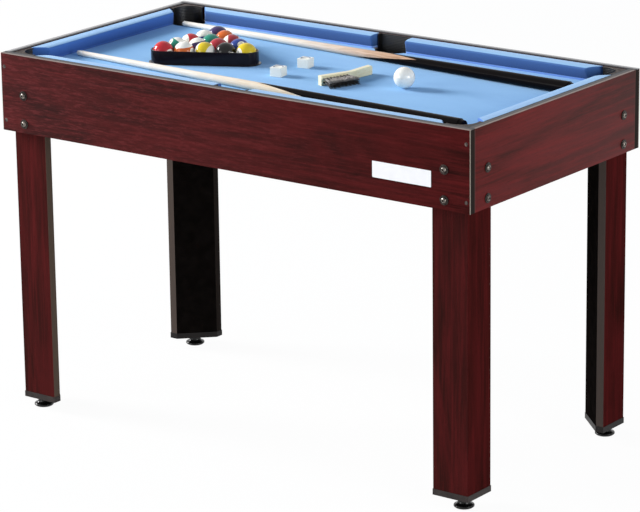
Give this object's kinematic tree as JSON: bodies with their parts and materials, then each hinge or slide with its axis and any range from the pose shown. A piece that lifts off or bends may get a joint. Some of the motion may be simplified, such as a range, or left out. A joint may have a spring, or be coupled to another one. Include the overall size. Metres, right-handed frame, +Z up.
{
  "type": "multi-game table",
  "caption": "Boarded games table on bolted corner legs with levelling feet, set up for pool: blue cushioned tray with pockets, cues, racked balls, chalk and brush.",
  "frame": {"origin": "on the floor, under the middle of the table", "axes": "+X along the table's length, +Y from the front apron to the rear one, +Z up"},
  "size_m": [1.0336, 0.5386, 0.6868],
  "materials": {
    "mahogany_board": "printed mahogany foil with a low sheen",
    "black_panel": "matte black foil",
    "edge_tape": "thin grey-beige edge tape",
    "dark_edge_tape": "dark edge tape",
    "raw_board": "plain board",
    "blue_cloth": "napped light blue cloth",
    "cushion_cloth": "blue cloth over a rubber and board cushion",
    "pocket_plastic": "black moulding with a textured plate",
    "brown_plastic": "grey-brown moulding",
    "black_gloss_plastic": "glossy black moulding",
    "zinc_steel": "zinc plated",
    "black_steel": "dark phosphated steel",
    "cue_wood": "clear lacquer",
    "cue_black_lacquer": "black gloss lacquer with light points",
    "white_plastic": "white ferrule with a leather tip",
    "ball_resin": "polished, each ball in its own colour",
    "white_ball_resin": "polished white",
    "white_chalk": "dry chalk",
    "brush_wood": "pale varnished wood",
    "bristle": "stiff black fibre"
  },
  "bodies": {
    "table_frame": {"front_apron": "mahogany_board", "rear_apron": "mahogany_board", "left_apron": "mahogany_board", "right_apron": "mahogany_board", "long_top_bands": "edge_tape", "short_top_bands": "edge_tape", "apron_end_bands": "dark_edge_tape", "tray_battens": "raw_board", "frame_screws": "zinc_steel", "leg_bolts": "black_steel", "leg_washers": "black_steel", "insert_nuts": "zinc_steel", "front_left_leg_long_board": "mahogany_board", "front_left_leg_short_board": "mahogany_board", "front_left_leg_inner_panel": "black_panel", "front_left_leg_cap": "brown_plastic", "front_right_leg_long_board": "mahogany_board", "front_right_leg_short_board": "mahogany_board", "front_right_leg_inner_panel": "black_panel", "front_right_leg_cap": "brown_plastic", "rear_left_leg_long_board": "mahogany_board", "rear_left_leg_short_board": "mahogany_board", "rear_left_leg_inner_panel": "black_panel", "rear_left_leg_cap": "brown_plastic", "rear_right_leg_long_board": "mahogany_board", "rear_right_leg_short_board": "mahogany_board", "rear_right_leg_inner_panel": "black_panel", "rear_right_leg_cap": "brown_plastic"},
    "front_left_leveller": {"front_left_leveller": "black_gloss_plastic"},
    "front_right_leveller": {"front_right_leveller": "black_gloss_plastic"},
    "rear_left_leveller": {"rear_left_leveller": "black_gloss_plastic"},
    "rear_right_leveller": {"rear_right_leveller": "black_gloss_plastic"},
    "pool_tray": {"bed_board": "raw_board", "bed_cloth": "blue_cloth", "front_left_cushion": "cushion_cloth", "front_right_cushion": "cushion_cloth", "rear_left_cushion": "cushion_cloth", "rear_right_cushion": "cushion_cloth", "left_end_cushion": "cushion_cloth", "right_end_cushion": "cushion_cloth", "front_left_pocket": "pocket_plastic", "front_right_pocket": "pocket_plastic", "rear_left_pocket": "pocket_plastic", "rear_right_pocket": "pocket_plastic", "front_side_pocket": "pocket_plastic", "rear_side_pocket": "pocket_plastic", "tray_screws": "zinc_steel"},
    "front_cue": {"front_cue_shaft": "cue_wood", "front_cue_butt": "cue_black_lacquer", "front_cue_ferrule": "white_plastic"},
    "rear_cue": {"rear_cue_shaft": "cue_wood", "rear_cue_butt": "cue_black_lacquer", "rear_cue_ferrule": "white_plastic"},
    "ball_rack": {"rack": "black_gloss_plastic"},
    "racked_balls": {"object_balls": "ball_resin"},
    "white_ball": {"cue_ball": "white_ball_resin"},
    "chalk_left": {"left_chalk": "white_chalk"},
    "chalk_right": {"right_chalk": "white_chalk"},
    "brush": {"brush_body": "brush_wood", "brush_bristles": "bristle"}
  },
  "joints": [
    {"name": "front_left_leveller_thread", "type": "slide", "parent": "table_frame", "child": "front_left_leveller", "axis": [0, 0, 1], "range_m": [-0.012, 0]},
    {"name": "front_right_leveller_thread", "type": "slide", "parent": "table_frame", "child": "front_right_leveller", "axis": [0, 0, 1], "range_m": [-0.012, 0]},
    {"name": "rear_left_leveller_thread", "type": "slide", "parent": "table_frame", "child": "rear_left_leveller", "axis": [0, 0, 1], "range_m": [-0.012, 0]},
    {"name": "rear_right_leveller_thread", "type": "slide", "parent": "table_frame", "child": "rear_right_leveller", "axis": [0, 0, 1], "range_m": [-0.012, 0]},
    {"name": "tray_lift_out", "type": "slide", "parent": "table_frame", "child": "pool_tray", "axis": [0, 0, 1], "range_m": [0, 0.12]},
    {"name": "front_cue_lift", "type": "slide", "parent": "pool_tray", "child": "front_cue", "axis": [0, 0, 1], "range_m": [0, 0.2]},
    {"name": "rear_cue_lift", "type": "slide", "parent": "pool_tray", "child": "rear_cue", "axis": [0, 0, 1], "range_m": [0, 0.2]},
    {"name": "rack_lift", "type": "slide", "parent": "racked_balls", "child": "ball_rack", "axis": [0, 0, 1], "range_m": [0, 0.1]},
    {"name": "racked_balls_lift", "type": "slide", "parent": "pool_tray", "child": "racked_balls", "axis": [0, 0, 1], "range_m": [0, 0.1]},
    {"name": "cue_ball_lift", "type": "slide", "parent": "pool_tray", "child": "white_ball", "axis": [0, 0, 1], "range_m": [0, 0.2]},
    {"name": "left_chalk_lift", "type": "slide", "parent": "pool_tray", "child": "chalk_left", "axis": [0, 0, 1], "range_m": [0, 0.2]},
    {"name": "right_chalk_lift", "type": "slide", "parent": "pool_tray", "child": "chalk_right", "axis": [0, 0, 1], "range_m": [0, 0.2]},
    {"name": "brush_lift", "type": "slide", "parent": "pool_tray", "child": "brush", "axis": [0, 0, 1], "range_m": [0, 0.2]}
  ]
}
